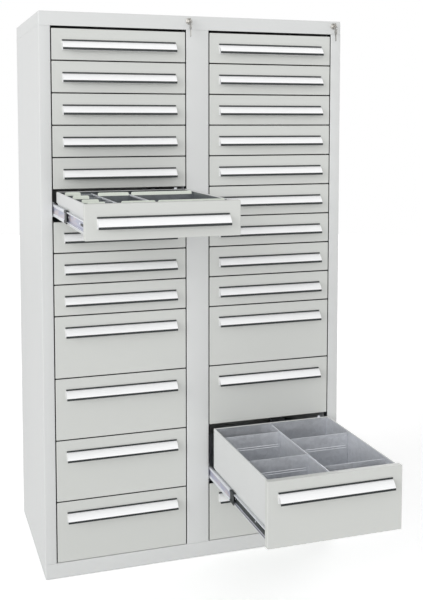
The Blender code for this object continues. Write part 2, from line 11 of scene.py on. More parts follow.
import bpy
import numpy as np
from bpy.props import FloatProperty, FloatVectorProperty, PointerProperty
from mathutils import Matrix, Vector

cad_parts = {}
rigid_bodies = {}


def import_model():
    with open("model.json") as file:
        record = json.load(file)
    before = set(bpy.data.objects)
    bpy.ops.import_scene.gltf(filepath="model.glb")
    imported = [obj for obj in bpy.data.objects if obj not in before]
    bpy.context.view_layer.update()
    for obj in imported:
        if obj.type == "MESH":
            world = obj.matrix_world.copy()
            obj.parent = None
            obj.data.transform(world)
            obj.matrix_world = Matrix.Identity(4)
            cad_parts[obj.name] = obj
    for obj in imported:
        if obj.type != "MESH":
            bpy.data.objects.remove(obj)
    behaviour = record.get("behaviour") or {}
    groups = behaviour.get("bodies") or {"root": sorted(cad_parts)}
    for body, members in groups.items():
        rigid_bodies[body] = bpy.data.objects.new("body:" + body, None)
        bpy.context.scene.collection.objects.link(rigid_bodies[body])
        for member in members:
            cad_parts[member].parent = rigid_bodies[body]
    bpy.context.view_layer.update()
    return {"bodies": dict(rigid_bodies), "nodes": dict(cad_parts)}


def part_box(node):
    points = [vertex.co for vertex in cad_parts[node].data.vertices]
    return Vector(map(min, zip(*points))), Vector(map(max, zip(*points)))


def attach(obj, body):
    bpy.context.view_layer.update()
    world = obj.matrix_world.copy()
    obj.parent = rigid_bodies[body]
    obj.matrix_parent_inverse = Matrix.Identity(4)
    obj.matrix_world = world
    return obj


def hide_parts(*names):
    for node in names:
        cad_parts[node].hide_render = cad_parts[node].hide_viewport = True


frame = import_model()

bl_info = {
    "name": "Drawer Cabinet Looks",
    "version": (1, 0, 0),
    "blender": (4, 5, 0),
    "location": "View3D > Sidebar > Cabinet",
    "description": "Detailed pieces and finishes for a two-column industrial drawer cabinet",
    "category": "Object",
}

MM = 0.001

# Carcass, as in the CAD
CABINET_WIDTH = 1020 * MM
CABINET_DEPTH = 560 * MM
FRONT_PLANE = -CABINET_DEPTH / 2
SIDE_STILE = 36 * MM
CENTRE_STILE = 76 * MM
STILE_DEPTH = 30 * MM
REAR_RETURN = 20 * MM
FLOOR_FLANGE = 25 * MM
OPENING_HALF = (CABINET_WIDTH - CENTRE_STILE - 2 * SIDE_STILE) / 4
COLUMN_X = {"left": -CENTRE_STILE / 2 - OPENING_HALF, "right": CENTRE_STILE / 2 + OPENING_HALF}
RIVETS = 8  # down each side of the back
RIVET_MARGIN = 32 * MM
RIVET_PROFILE = ((0, 4.0), (0.9, 3.7), (1.5, 2.6), (1.8, 0.8))  # (mm behind the back panel, radius in mm)
SIDES = {"left": -1, "right": 1}  # and which way each lies along X

# Drawers, measured from the front's face, the column's middle and the lower seam
FRONT_GAP = 3 * MM
SMALL_HEIGHT = 120 * MM  # drawers over this height are large ones
FRONT_HALF = OPENING_HALF - FRONT_GAP
FRONT_PLAY = 0.3 * MM  # a front is this much smaller all round than the solid it stands for
FRONT_DEPTH = 20 * MM
FRONT_RETURN = 10 * MM
GAP_SHADE_START = 2.0 * MM  # a dark band of painted shade lies round the edge of a shut front, in the gap
GAP_SHADE_RISE = 0.15 * MM
TRAY_START = 20.3 * MM
TRAY_REAR = 495 * MM
TRAY_HALF = OPENING_HALF - 13 * MM
RIM_HALF = TRAY_HALF + 3.6 * MM
REAR_RIM = 8 * MM
FLOOR_RISE = 9.5 * MM
SKIRT_RISE = 61.5 * MM
RIM_DROP = 4.5 * MM
SLIDE_RISE = 36.5 * MM
SLIDE_FRONT = 23.7 * MM
SLIDE_REAR = 548.7 * MM
END_LAP = 0.1 * MM  # an end wall reaches this far into each side wall
INNER_FACE_MARGIN = 0.3 * MM
INNER_RIM_MARGIN = 0.5 * MM
HANDLE_TOP_DROP = 39.5 * MM
HANDLE_HEIGHT = 28 * MM
HANDLE_REACH = 22 * MM
HANDLE_HALF = FRONT_HALF - 33 * MM
HOOD_WALL = 2.0 * MM
HOOD_WEB = 2.2 * MM
HOOD_BULGE = 3.2 * MM
HOOD_SETBACK = 0.5 * MM  # from the lip's face back to the hood's edge
HOOD_LAP = 0.3 * MM
HOOD_ROOT = 0.2  # the inner arc starts at this share of the outer one
HOOD_GROOVES = (0.35, 0.58, 0.78)  # shares of the arc, as is their width
GROOVE_WIDTH = 0.013
HOOD_POINTS = 90  # along the outer arc
HOOD_INNER_POINTS = 20
LIP_SHEET = 4.2 * MM
LIP_CORNER = 1.1 * MM
STRIP_SHEET = 3.0 * MM
STRIP_LAP = 0.4 * MM
STRIP_CORNER = 0.5 * MM

# Slide members: x of webs and tips from the column's middle, and half heights
SLIDE_SHEET = 1.5 * MM
SLIDE_BEND = 0.8 * MM
SLIDE_LIP = 2.9 * MM
RUNNER_WEB = 205.3 * MM
RUNNER_TIP = 213.9 * MM
RUNNER_HALF = 15.7 * MM
MID_WEB = 215.8 * MM
MID_TIP = 207.2 * MM
MID_HALF = 19.1 * MM
MID_GROOVE_WEB = 214.0 * MM  # the web stands back between the two ball races
MID_GROOVE_HALF = 9.5 * MM
CAGE_HALF = 11.0 * MM  # the dark ball cage in the slides of the large drawers, which also paints the shade deep in the runner's channel
CAGE_SHEET = 0.9 * MM
SLIDE_NOSE = 34 * MM  # dark plastic at the front end of a middle member
RUNNER_FILM_HALF = 11.5 * MM  # the bluish film shows on the webs, between the races, darkened as a painted dark reflection
SCREW_PROFILE = ((0, 3.4), (0.7, 3.3), (1.2, 2.4), (1.4, 0.8))  # (mm off the web, radius in mm)
SCREW_SHARES = (0.17, 0.50, 0.90)  # places along a member
LEVER_START = 14 * MM  # the plastic lever at the front end, along the web
LEVER_END = 66 * MM
LEVER_HALF = 3.2 * MM
LEVER_CORNER = 3.0 * MM
LEVER_SHEET = 2.4 * MM
LEVER_EDGE = 0.6 * MM

# The catch that stands on a tray's rear rim
CATCH_SETBACK = 35 * MM
CATCH_WIDTH = 9 * MM
CATCH_RISE = 4.8 * MM

# Dividers of the open drawers, as shares of the tray's width and depth, with rows of plates for each zone
DIVIDERS = {
    "left_drawer_06": {
        "partitions": (0.25, 0.505),
        "rows": ((0.13, 0.31, 0.61, 0.90), (0.14, 0.81), (0.14, 0.81)),
        "labels": ("tab", "strip", "strip"),
        # the darker zinc paints the shade in this small drawer
        "sheet": "dull_galvanised",
    },
    "right_drawer_12": {
        "partitions": (0.49,),
        "rows": ((0.36, 0.83), (0.13, 0.66)),
        "labels": (None, None),
        "sheet": "galvanised_sheet",
    },
}
OPEN_DRAWERS = tuple(DIVIDERS)
PLATE_CORNER = 9 * MM
PLATE_EDGE = 0.6  # radius of a plate's edges, as a share of half its sheet
HEM_WIDTH = 3.0 * MM  # the top edge of a partition is folded over
HEM_HEIGHT = 6 * MM
HOLDER_DROP = 3.5 * MM
HOLDER_RISE = 7 * MM
HOLDER_DEPTH = 3.4 * MM
HOLDER_LEAN = 0.22
HOLDER_MARGIN = 4 * MM
HOLDER_CORNERS = (1.0, 1.0, 5.5, 5.5)  # mm, the lower two and the upper two
HOLDER_EDGE = 0.6 * MM
TAB_WIDTH = 48 * MM
TAB_SHARE = 0.36
RIB_DROPS = (43 * MM, 50 * MM)
RIB_RADIUS = 1.8 * MM
RIB_MARGIN = 8 * MM

# Locks and keys. Profiles are (mm behind the front, radius in mm), cuts are (share of the blade, mm of depth)
BARREL_PROFILE = ((-1.8, 6.3), (-2.5, 7.1), (-2.5, 8.7), (-2.3, 9.4), (-1.6, 10.3),
                  (-1.0, 10.5), (-0.3, 10.5), (-0.3, 9.0), (20, 9.0), (20, 6.3))
PLUG_PROFILE = ((-3.1, 5.3), (-2.9, 5.8), (-2.5, 6.0), (21.2, 6.0), (21.2, 8.6), (23.2, 8.6))
LOCK_SETOVER = 9 * MM  # outwards from the opening's right edge
LOCK_DROP = 17 * MM
PIN_RADIUS = 1.5 * MM
PIN_DROP = 6 * MM
PIN_SPAN = (22.2 * MM, 27.5 * MM)
KEY_SHEET = 2.2 * MM
KEY_BOW = 9 * MM
KEY_HOLE = 2.5 * MM
KEY_HOLE_OFFSET = 4 * MM
KEY_NECK = 3.5 * MM  # the blade reaches this far into the bow
KEY_WIDTH = 7 * MM
KEY_BLADE = 26 * MM
KEY_CUTS = ((0.08, 1.2), (0.14, 2.0), (0.22, 0.9), (0.30, 2.3), (0.38, 1.1),
            (0.46, 1.9), (0.54, 0.7), (0.62, 1.6), (0.70, 0.0))
KEY_EDGE = 0.4 * MM
KEY_CORNER = 0.3 * MM
KEY_TIP = (2 * MM, 0.6 * MM)  # its length and half its width
BLADE_SHARE = 0.9  # the blade's thickness, as a share of the bow's
BLADE_EDGE = 0.2 * MM
KEY_RIB_MARGINS = (2 * MM, 3 * MM)
KEY_RIB_HALF = 0.7 * MM
KEY_RIB_CORNER = 0.5 * MM
RING_RADIUS = 6.5 * MM
RING_END = 0.4  # radians left free at each end of the wire
RING_POINTS = (141, 10)  # along the wire and round it
WIRE_THICKNESS = 0.8 * MM

# Stage. A light's tilt from straight down and its turn round the vertical are in degrees
CAMERA_PLACE = (-0.9143, -3.1661, 1.459)
CAMERA_SHIFT = -0.18
LIGHTS = {"left": (72, -66), "front": (84, -10), "back": (80, 140)}
SUN_SPREAD = math.radians(45)
FLOOR_RADIUS = 9.0
FLOOR_DROP = 0.0006
FLOOR_GREY = 0.94
FLOOR_ROUGHNESS = 0.9
FLOOR_LIFT = 0.58  # how much brighter the camera sees the floor, so that it meets the white background

# How finely round forms are divided, and how they are shaded
QUARTER = np.linspace(0, np.pi / 2, 6)  # angles round a bend
CORNER_STEPS = 6
DISC_POINTS = 20  # round rivets and screws
RIB_POINTS = 12
PIN_POINTS = 24
TURNED_POINTS = 48
FLOOR_POINTS = 96
SHARP_ANGLE = math.radians(32)
FLAT_MARGIN = 1.05
CORNER_SHARE = 1.6  # a rounded rectangle's corners, by the radius of its edges
TIGHT = 0.05 * MM
EDGE_SHARE = 0.49  # a corner takes up at most this share of an edge
TOUCHING = 1e-7  # points nearer than this are one


def millimetres(name, about, number):
    """A length in a property group."""
    return FloatProperty(name=name, description=about, default=number * MM, subtype="DISTANCE", unit="LENGTH")


def degrees(name, about, number):
    """An angle in a property group."""
    turn = math.radians(number)
    return FloatProperty(name=name, description=about, default=turn, subtype="ANGLE", unit="ROTATION")


def power(name, about, number):
    """A light's strength in a property group."""
    return FloatProperty(name=name, description=about, default=number, min=0)


def tint(name, about, colour):
    """A colour in a property group, in linear light."""
    return FloatVectorProperty(name=name, description=about, default=colour, subtype="COLOR", size=3)


class CabinetSizes(bpy.types.PropertyGroup):
    """Sizes that shape the sheet metal and trim."""

    sheet: millimetres("Sheet", "Thickness of the folded sheet", 1.5)
    bend: millimetres("Bend", "Inside radius of every fold", 0.9)
    front_edge: millimetres("Front edge", "Radius round a drawer front's face", 1.6)
    # the lip under a handle and the strip over it are dark bands of painted shade
    lip_height: millimetres("Lip height", "Height of the dark grip lip under a handle", 7.0)
    strip_height: millimetres("Strip height", "Height of the dark strip over a handle", 4.4)
    groove_depth: millimetres("Groove depth", "Depth of the fine lines along a handle", 0.35)
    divider_sheet: millimetres("Divider sheet", "Thickness of the divider plates", 1.2)


class CabinetColours(bpy.types.PropertyGroup):
    """Colours of the finishes."""

    carcass: tint("Carcass", "Enamel of the carcass", (0.641, 0.651, 0.647))
    drawer: tint("Drawer", "Enamel of the drawer fronts", (0.600, 0.612, 0.590))
    zinc: tint("Zinc", "Galvanised sheet in the large drawers", (0.69, 0.705, 0.735))
    # a darker copy of the zinc, which paints the shade deep in the small drawers
    dull_zinc: tint("Dull zinc", "Galvanised sheet in the small drawers", (0.17, 0.185, 0.195))
    # the bright slide zinc also paints the highlights on the divider plates' edges and hems
    slide: tint("Slide", "Bright zinc of the slides", (0.80, 0.82, 0.86))
    # the zinc's real bluish tint, made dark to paint the dark reflection on the slides' webs
    film: tint("Film", "Bluish zinc of the slides' webs", (0.47, 0.485, 0.61))
    film_blush: tint("Film blush", "Colour that the film drifts to", (0.63, 0.56, 0.60))
    aluminium: tint("Aluminium", "Anodised handles", (0.93, 0.935, 0.94))
    nickel: tint("Nickel", "Locks and keys", (0.40, 0.39, 0.37))
    # dark plastic of the slide levers and noses; this colour also paints shade: the bands in the front gaps,
    # over and under the handles, and the ball cages
    trim: tint("Trim", "Dark plastic trim", (0.012, 0.016, 0.017))
    label: tint("Label", "Label holders on the dividers", (0.79, 0.84, 0.75))


class StageSettings(bpy.types.PropertyGroup):
    """Camera and light."""

    lens: FloatProperty(name="Lens", description="Focal length in millimetres", default=55.74, min=10)
    yaw: degrees("Yaw", "Camera turn to the right", -18.435)
    pitch: degrees("Pitch", "Camera tilt, down if negative", -4.285)
    sky: power("Sky", "Strength of the even light", 0.53)
    left_sun: power("Left sun", "Strength of the soft light from the left", 1.42)
    front_sun: power("Front sun", "Strength of the soft light from the front", 1.05)
    back_sun: power("Back sun", "Strength of the soft light from behind", 1.1)


class Wire:
    """A shader socket that takes part in Python sums: each operator adds its Math node."""

    def __init__(self, tree, socket=None):
        self.tree, self.socket = tree, socket

    def node(self, kind, settings, sockets, output=0):
        """Adds a node of a type, with its settings first, then its sockets. Returns one of its outputs."""
        made = self.tree.nodes.new("ShaderNode" + kind)
        for key, value in settings.items():
            if key == "stops":
                ramp = made.color_ramp
                while len(ramp.elements) < len(value):
                    ramp.elements.new(1)
                for element, (place, colour) in zip(ramp.elements, value):
                    element.position, element.color = place, (*colour, 1)
            else:
                setattr(made, key, value)
        for key, value in sockets.items():
            if isinstance(value, Wire):
                self.tree.links.new(value.socket, made.inputs[key])
            else:
                made.inputs[key].default_value = value
        return Wire(self.tree, made.outputs[output])

    def maths(self, operation, *values):
        """One Math node on the given values."""
        return self.node("Math", {"operation": operation}, dict(enumerate(values)))

    def __add__(self, other):
        return self.maths("ADD", self, other)

    __radd__ = __add__

    def __rsub__(self, other):
        return self.maths("SUBTRACT", other, self)

    def __mul__(self, other):
        return self.maths("MULTIPLY", self, other)

    __rmul__ = __mul__

    def tinted(self, colour):
        """A colour times this wire's value."""
        return self.node("VectorMath", {"operation": "SCALE"}, {"Vector": colour, "Scale": self})

    def place(self):
        """Object coordinates."""
        return self.node("TexCoord", {}, {}, "Object")

    def noise(self, waves, detail=2.0):
        """Noise from 0 to 1, with one number of waves per metre or one for each axis."""
        vector = self.place()
        if isinstance(waves, tuple):
            vector, waves = self.node("VectorMath", {"operation": "MULTIPLY"}, {0: vector, 1: waves}), 1.0
        return self.node("TexNoise", {}, {"Vector": vector, "Scale": waves, "Detail": detail})


def new_finish(name):
    """A material, a wire that adds nodes to it and its shader's inputs."""
    finish = bpy.data.materials.new(name)
    finish.use_nodes = True
    return finish, Wire(finish.node_tree), finish.node_tree.nodes["Principled BSDF"].inputs


def connect(inputs, name, wire):
    """Links a wire to one of the shader's inputs."""
    wire.tree.links.new(wire.socket, inputs[name])


def finish_of(name):
    """One of the cabinet's materials, made when it is first asked for.

    Its kind works out what changes over the surface: the colour, the roughness, and a height with its depth
    and strength, which give the normal.
    """
    if name not in MADE_FINISHES:
        kind, group, metallic, *settings = FINISHES[name]
        finish, wire, inputs = new_finish(name)
        colour = tuple(getattr(bpy.context.scene.cabinet_colours, group))
        shade, roughness, height, depth, strength = kind(wire, colour, *settings)
        bump = wire.node("Bump", {}, {"Height": height, "Distance": depth, "Strength": strength})
        inputs["Metallic"].default_value = metallic
        connect(inputs, "Base Color", shade)
        connect(inputs, "Roughness", roughness)
        connect(inputs, "Normal", bump)
        MADE_FINISHES[name] = finish
    return MADE_FINISHES[name]


def enamel(wire, colour, roughness):
    """Powder coat: a faint cloud in its colour, and the fine orange-peel surface that powder leaves."""
    cloud, peel, speck = wire.noise(2.2, 3.0), wire.noise(620.0), wire.noise(2600.0, 1.0)
    shade = (0.985 + 0.022 * cloud + 0.008 * speck).tinted(colour)
    return shade, roughness - 0.05 + 0.06 * cloud + 0.05 * peel, peel, 0.22 * MM, 0.35


def galvanised(wire, colour):
    """Galvanised sheet: small crystals of differing shade under faint rolling lines along Y."""
    cells = wire.node("TexVoronoi", {"feature": "F1"}, {"Vector": wire.place(), "Scale": 95.0}, "Color")
    crystal = wire.node("SeparateColor", {}, {"Color": cells}, "Red")
    lines, cloud = wire.noise((420.0, 9.0, 420.0)), wire.noise(5.0)
    shade = (0.86 + 0.10 * crystal + 0.10 * lines + 0.10 * cloud).tinted(colour)
    return shade, 0.27 + 0.12 * crystal + 0.08 * lines, crystal + lines, 0.08 * MM, 0.4


def drawn_metal(wire, colour, roughness, along, line_depth=0.06 * MM):
    """Metal with fine drawing lines along one axis: noise stretched along it and tight across it."""
    lines = wire.noise(tuple(LONG_WAVES if axis == along else LINE_WAVES for axis in "XYZ"), 3.0)
    cloud = wire.noise(14.0)
    shade = (0.93 + 0.07 * lines + 0.04 * cloud).tinted(colour)
    return shade, roughness - 0.05 + 0.10 * lines + 0.05 * cloud, lines, line_depth, 0.4


def filmed_zinc(wire, colour):
    """Passivated zinc: drawing lines along Y under a thin film that drifts from its colour to a blush. The
    film's dark colour paints a dark reflection on the webs.
    """
    drift = wire.noise((60.0, 14.0, 60.0), 1.0)
    lines = wire.noise((LINE_WAVES, LONG_WAVES, LINE_WAVES), 3.0)
    stops = ((0.40, colour), (0.60, tuple(bpy.context.scene.cabinet_colours.film_blush)))
    film = wire.node("ValToRGB", {"stops": stops}, {"Fac": drift})
    return (0.90 + 0.12 * lines).tinted(film), 0.26 + 0.10 * lines, lines, 0.06 * MM, 0.4


def moulded(wire, colour, roughness, grain):
    """Moulded plastic with a fine grain."""
    fine, cloud = wire.noise(grain), wire.noise(30.0, 1.0)
    shade = (0.92 + 0.10 * fine + 0.06 * cloud).tinted(colour)
    return shade, roughness - 0.05 + 0.10 * fine, fine, 0.10 * MM, 0.4


LINE_WAVES = 1400.0  # drawing lines per metre, across them and along them
LONG_WAVES = 5.0

# Each finish has its kind, its colour in the panel, how metallic it is, and what its kind asks for
FINISHES = {
    "carcass_coat": (enamel, "carcass", 0.0, 0.43),
    "drawer_coat": (enamel, "drawer", 0.0, 0.45),
    "galvanised_sheet": (galvanised, "zinc", 0.6),
    "dull_galvanised": (galvanised, "dull_zinc", 0.6),
    "slide_zinc": (drawn_metal, "slide", 0.5, 0.30, "Y"),
    "slide_film": (filmed_zinc, "film", 0.5),
    "bright_handle": (drawn_metal, "aluminium", 0.1, 0.38, "X"),
    "nickel": (drawn_metal, "nickel", 1.0, 0.24, "Z", 0.02 * MM),
    "dark_trim": (moulded, "trim", 0.0, 0.42, 900.0),
    "label_holder": (moulded, "label", 0.0, 0.30, 500.0),
}
MADE_FINISHES = {}


def fillet(outline, radius, steps=4):
    """A closed outline with its corners rounded.

    Each corner P becomes the curve (1-s)^2 A + 2 s (1-s) P + s^2 B. A and B lie on its two edges at radius *
    tan(turn / 2) from P, or at EDGE_SHARE of an edge where that is less. Points that coincide are dropped.
    """
    points = np.asarray(outline, float)
    back, ahead = points - np.roll(points, 1, axis=0), np.roll(points, -1, axis=0) - points
    back_length, ahead_length = np.linalg.norm(back, axis=1), np.linalg.norm(ahead, axis=1)
    u, v = back / back_length[:, None], ahead / ahead_length[:, None]
    turn = np.abs(np.arctan2(u[:, 0] * v[:, 1] - u[:, 1] * v[:, 0], (u * v).sum(axis=1)))
    reach = np.minimum(radius * np.tan(turn / 2), EDGE_SHARE * np.minimum(back_length, ahead_length))[:, None]
    s = np.linspace(0, 1, steps + 1)[None, :, None]
    start, end, middle = (points - u * reach)[:, None], (points + v * reach)[:, None], points[:, None]
    curve = ((1 - s) ** 2 * start + 2 * s * (1 - s) * middle + s**2 * end).reshape(-1, 2)
    step = np.linalg.norm(curve - np.roll(curve, 1, axis=0), axis=1)
    return curve[step > TOUCHING]


def folded(path, sheet, bend):
    """The outline of a folded sheet, whose one face follows the path and whose other lies to its left.

    The far face is the path moved by sheet along the mitre (n1 + n2) / (1 + n1.n2) of its two normals. Inner
    corners get the bend radius and outer ones bend + sheet.
    """
    path = np.asarray(path, float)
    run = np.diff(path, axis=0)
    run /= np.linalg.norm(run, axis=1)[:, None]
    left = np.stack([-run[:, 1], run[:, 0]], axis=1)
    before, after = np.vstack([left[:1], left]), np.vstack([left, left[-1:]])
    mitre = (before + after) / (1 + (before * after).sum(axis=1))[:, None]
    turn = np.zeros(len(path))
    turn[1:-1] = run[:-1, 0] * run[1:, 1] - run[:-1, 1] * run[1:, 0]
    near = np.where(turn > 0, bend + sheet, bend)
    far = np.where(turn > 0, bend, bend + sheet)
    near[[0, -1]] = far[[0, -1]] = sheet / 5
    return fillet(np.vstack([path, (path + sheet * mitre)[::-1]]), np.concatenate([near, far[::-1]]))


def inset(outline, distance):
    """A closed outline moved inwards along the mitred normals of its corners."""
    run = np.roll(outline, -1, axis=0) - outline
    run /= np.linalg.norm(run, axis=1)[:, None]
    left = np.stack([-run[:, 1], run[:, 0]], axis=1)
    x, y = outline.T
    if (x * np.roll(y, -1) - y * np.roll(x, -1)).sum() < 0:
        left = -left
    before = np.roll(left, 1, axis=0)
    return outline + distance * (before + left) / (1 + (before * left).sum(axis=1))[:, None]


def carried(outlines, axis, stations):
    """Rings of 3-D points: each outline set at its station along an axis."""
    outlines = np.asarray(outlines, float)
    stations = np.asarray(stations, float)
    if outlines.ndim == 2:
        outlines = np.repeat(outlines[None], len(stations), axis=0)
    depth = np.broadcast_to(stations[:, None], outlines.shape[:2])
    first, second = outlines[..., 0], outlines[..., 1]
    order = {"X": (depth, first, second), "Y": (first, depth, second), "Z": (first, second, depth)}[axis]
    return np.stack(order, axis=-1)


def turned(profile, steps=TURNED_POINTS):
    """Rings of a profile of (mm along Y, radius in mm) turned about the Y axis."""
    profile = np.array(profile) * MM
    angle = np.linspace(0, 2 * np.pi, steps, endpoint=False)
    rings = np.empty((len(profile), steps, 3))
    rings[..., 0] = profile[:, 1:] * np.cos(angle)
    rings[..., 1] = profile[:, :1]
    rings[..., 2] = profile[:, 1:] * np.sin(angle)
    return rings


def softened(outline, axis, low, high, edge, steps=3):
    """Rings of a flat plate with rounded edges.

    Along a quarter turn a, the outline is inset by edge * (1 - sin a) at edge * (1 - cos a) from each face.
    One more ring lies in each face, inset by edge * FLAT_MARGIN, which keeps the face's shading flat.
    """
    turn = np.linspace(0, np.pi / 2, steps + 1)
    insets, depths = edge * (1 - np.sin(turn)), edge * (1 - np.cos(turn))
    insets, depths = np.append(edge * FLAT_MARGIN, insets), np.append(0, depths)
    rings = [inset(outline, distance) for distance in insets]
    return carried(rings + rings[::-1], axis, np.concatenate([low + depths, high - depths[::-1]]))


def pierced(outline, hole, low, high, edge):
    """Rings of a plate across X with a hole: at each angle a section that goes from the hole to the rim."""
    rim, mouth = inset(outline, edge), inset(hole, -edge)
    loops = [(hole, low + edge), (mouth, low), (rim, low), (outline, low + edge)]
    loops += [(outline, high - edge), (rim, high), (mouth, high), (hole, high - edge)]
    return np.stack([carried([loop], "X", [x])[0] for loop, x in loops], axis=1)


def box_outline(low, high):
    """The four corners of a rectangle."""
    return [(low[0], low[1]), (high[0], low[1]), (high[0], high[1]), (low[0], high[1])]


def bar(low, high, radius, steps=4):
    """A rectangle between two corners, with its own corners rounded."""
    return fillet(box_outline(low, high), radius, steps)


def rounded(low, high, edge, distance):
    """A rectangle whose corners have CORNER_SHARE times its edges' radius, moved in by a distance.

    The corners' radius shrinks by the distance, down to TIGHT. Of a corner in x, y and z, x and y are used.
    """
    low, high = np.add(low[:2], distance), np.subtract(high[:2], distance)
    return bar(low, high, max(edge * CORNER_SHARE - distance, TIGHT), CORNER_STEPS)


def circle(radius, steps, centre=(0.0, 0.0)):
    """Points round a circle."""
    angle = np.linspace(0, 2 * np.pi, steps, endpoint=False)
    return np.stack([centre[0] + radius * np.cos(angle), centre[1] + radius * np.sin(angle)], axis=1)


def side_middles(section):
    """The middle of each side of a closed section."""
    return (section + np.roll(section, -1, axis=0)) / 2


class Shell:
    """Gathers closed grids of quads with a finish index each, and makes one piece of them."""

    def __init__(self):
        self.points, self.faces, self.finish, self.count = [], [], [], 0

    def add(self, rings, finish=0, hole=False, offset=(0, 0, 0)):
        """Adds rings[m, n, 3]. Each is closed. The first and last are capped, or joined if there is a hole.

        finish is one index, or one for each side of the rings. Faces turn outwards by the sign of the volume.
        """
        m, n = rings.shape[:2]
        index = np.arange(m * n).reshape(m, n)
        ahead = np.roll(index, -1, axis=0) if hole else index[1:]
        here = index if hole else index[:-1]
        quads = np.stack([here, np.roll(here, -1, 1), np.roll(ahead, -1, 1), ahead], axis=-1).reshape(-1, 4)
        points = rings.reshape(-1, 3) + np.asarray(offset, float)
        a, b, c, d = (points[quads[:, k]] - points.mean(axis=0) for k in range(4))
        volume = np.einsum("ij,ij->", a, np.cross(b, c)) + np.einsum("ij,ij->", a, np.cross(c, d))
        caps = [] if hole else [index[0][::-1], index[-1]]
        for cap in caps:
            rim = points[cap] - points.mean(axis=0)
            volume += np.einsum("j,ij->", rim[0], np.cross(rim[1:-1], rim[2:]))
        turn = -1 if volume < 0 else 1
        self.faces += (quads[:, ::turn] + self.count).tolist()
        self.faces += [(cap[::turn] + self.count).tolist() for cap in caps]
        sides = np.broadcast_to(np.asarray(finish), n)
        self.finish.append(np.tile(sides, len(here)))
        self.finish.append(np.full(len(caps), sides[0]))
        self.points.append(points)
        self.count += len(points)
        return self

    def piece(self, name, body, slot, materials, replaced=()):
        """Makes the object, sets it on its body and hides the nodes that it stands for."""
        mesh = bpy.data.meshes.new(name)
        mesh.from_pydata(np.concatenate(self.points), [], self.faces)
        for material in materials:
            mesh.materials.append(finish_of(material))
        mesh.polygons.foreach_set("material_index", np.concatenate(self.finish).astype(np.int32))
        mesh.shade_smooth()
        mesh.set_sharp_from_angle(angle=SHARP_ANGLE)
        thing = bpy.data.objects.new(name, mesh)
        bpy.context.scene.collection.objects.link(thing)
        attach(thing, body)
        if replaced:
            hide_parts(*replaced)


def refinish(node, material):
    """Gives a CAD node one of the cabinet's materials."""
    mesh = frame["nodes"][node].data
    mesh.materials.clear()
    mesh.materials.append(finish_of(material))


def drawer_places():
    """Each drawer's name, which its body shares, its column's middle, face y, lower seam and height."""
    places = []
    for name in sorted(frame["bodies"]):
        if "_drawer_" not in name or name.endswith("slide"):
            continue
        shown = name + "_front" if name in OPEN_DRAWERS else name
        low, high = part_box(shown)
        middle = COLUMN_X[name.split("_")[0]]
        face = low.y if name in OPEN_DRAWERS else low.y + HANDLE_REACH
        places.append((name, middle, face, low.z - FRONT_GAP / 2, high.z - low.z + FRONT_GAP))
    return places


def sizes():
    """The sizes that the panel sets."""
    return bpy.context.scene.cabinet_sizes


def stands_for(name, part):
    """The node that a piece of an open drawer replaces, or none: a shut drawer's front replaces all of it."""
    return [f"{name}_{part}"] if name in OPEN_DRAWERS else []


